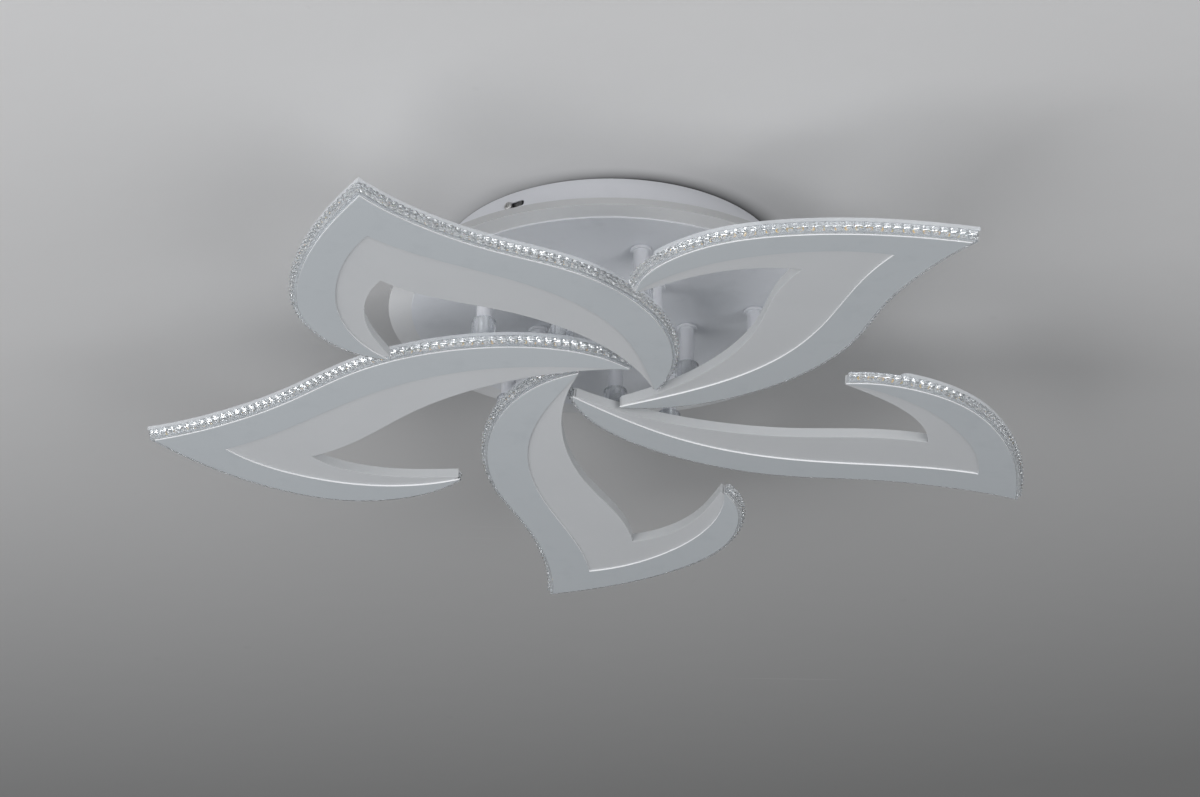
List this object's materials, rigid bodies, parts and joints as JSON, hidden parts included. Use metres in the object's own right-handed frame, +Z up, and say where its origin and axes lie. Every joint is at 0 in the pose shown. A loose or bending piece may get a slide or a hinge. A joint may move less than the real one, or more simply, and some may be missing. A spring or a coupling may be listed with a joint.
{
  "type": "led ceiling chandelier",
  "caption": "Ceiling light with hooked milky petals edged in clear crystal beads, hung on short stems below a round canopy with a milky ring.",
  "frame": {"origin": "on the ceiling plane, on the lamp's vertical axis, at the middle of the bracket's two round screw holes", "axes": "+Z up into the ceiling, +X to the picture's right, +Y away from the picture's camera"},
  "size_m": [0.7289, 0.7239, 0.1349],
  "materials": {
    "white_paint": "satin white powder coat, faintly blue",
    "milky_acrylic": "milky light-diffusing acrylic",
    "clear_acrylic": "clear moulded acrylic",
    "zinc_steel": "zinc plated",
    "nylon": "natural nylon",
    "led_board": "white flexible board with amber LEDs",
    "foam": "black foam tape",
    "driver_case": "white driver case"
  },
  "bodies": {
    "bracket": {"ceiling_bracket": "zinc_steel", "bracket_nuts": "zinc_steel", "terminal_block": "nylon"},
    "lamp": {"petal_plate_1": "white_paint", "petal_plate_2": "white_paint", "petal_plate_3": "white_paint", "petal_plate_4": "white_paint", "petal_plate_5": "white_paint", "petal_diffuser_1": "milky_acrylic", "petal_diffuser_2": "milky_acrylic", "petal_diffuser_3": "milky_acrylic", "petal_diffuser_4": "milky_acrylic", "petal_diffuser_5": "milky_acrylic", "petal_led_strip_1": "led_board", "petal_led_strip_2": "led_board", "petal_led_strip_3": "led_board", "petal_led_strip_4": "led_board", "petal_led_strip_5": "led_board", "petal_cover_1": "clear_acrylic", "petal_cover_2": "clear_acrylic", "petal_cover_3": "clear_acrylic", "petal_cover_4": "clear_acrylic", "petal_cover_5": "clear_acrylic", "crystal_strip_long_1": "clear_acrylic", "crystal_strip_long_2": "clear_acrylic", "crystal_strip_long_3": "clear_acrylic", "crystal_strip_long_4": "clear_acrylic", "crystal_strip_long_5": "clear_acrylic", "crystal_strip_short_1": "clear_acrylic", "crystal_strip_short_2": "clear_acrylic", "crystal_strip_short_3": "clear_acrylic", "crystal_strip_short_4": "clear_acrylic", "crystal_strip_short_5": "clear_acrylic", "pan_nuts": "zinc_steel", "ring_bushes": "nylon", "stem_flanges": "white_paint", "stem_tubes": "white_paint", "stem_spacers": "clear_acrylic", "petal_nuts": "zinc_steel", "stem_rods": "zinc_steel", "canopy_pan": "white_paint", "glow_ring": "milky_acrylic", "ring_led_strip": "led_board", "canopy_disc": "white_paint", "driver_tape": "foam", "led_driver": "driver_case"},
    "screw_a": {"side_screw_a": "zinc_steel"},
    "screw_b": {"side_screw_b": "zinc_steel"}
  },
  "joints": [
    {"name": "canopy_turn", "type": "hinge", "parent": "bracket", "child": "lamp", "pos_m": [0, 0, 0], "axis": [0, 0, 1], "range_deg": [-4.9, 0]},
    {"name": "side_screw_a_turn", "type": "hinge", "parent": "bracket", "child": "screw_a", "pos_m": [-0.08209, -0.11217, -0.0115], "axis": [-0.5906, -0.807, 0], "range_deg": [0, 720]},
    {"name": "side_screw_b_turn", "type": "hinge", "parent": "bracket", "child": "screw_b", "pos_m": [0.08209, 0.11217, -0.0115], "axis": [0.5906, 0.807, 0], "range_deg": [0, 720]}
  ]
}
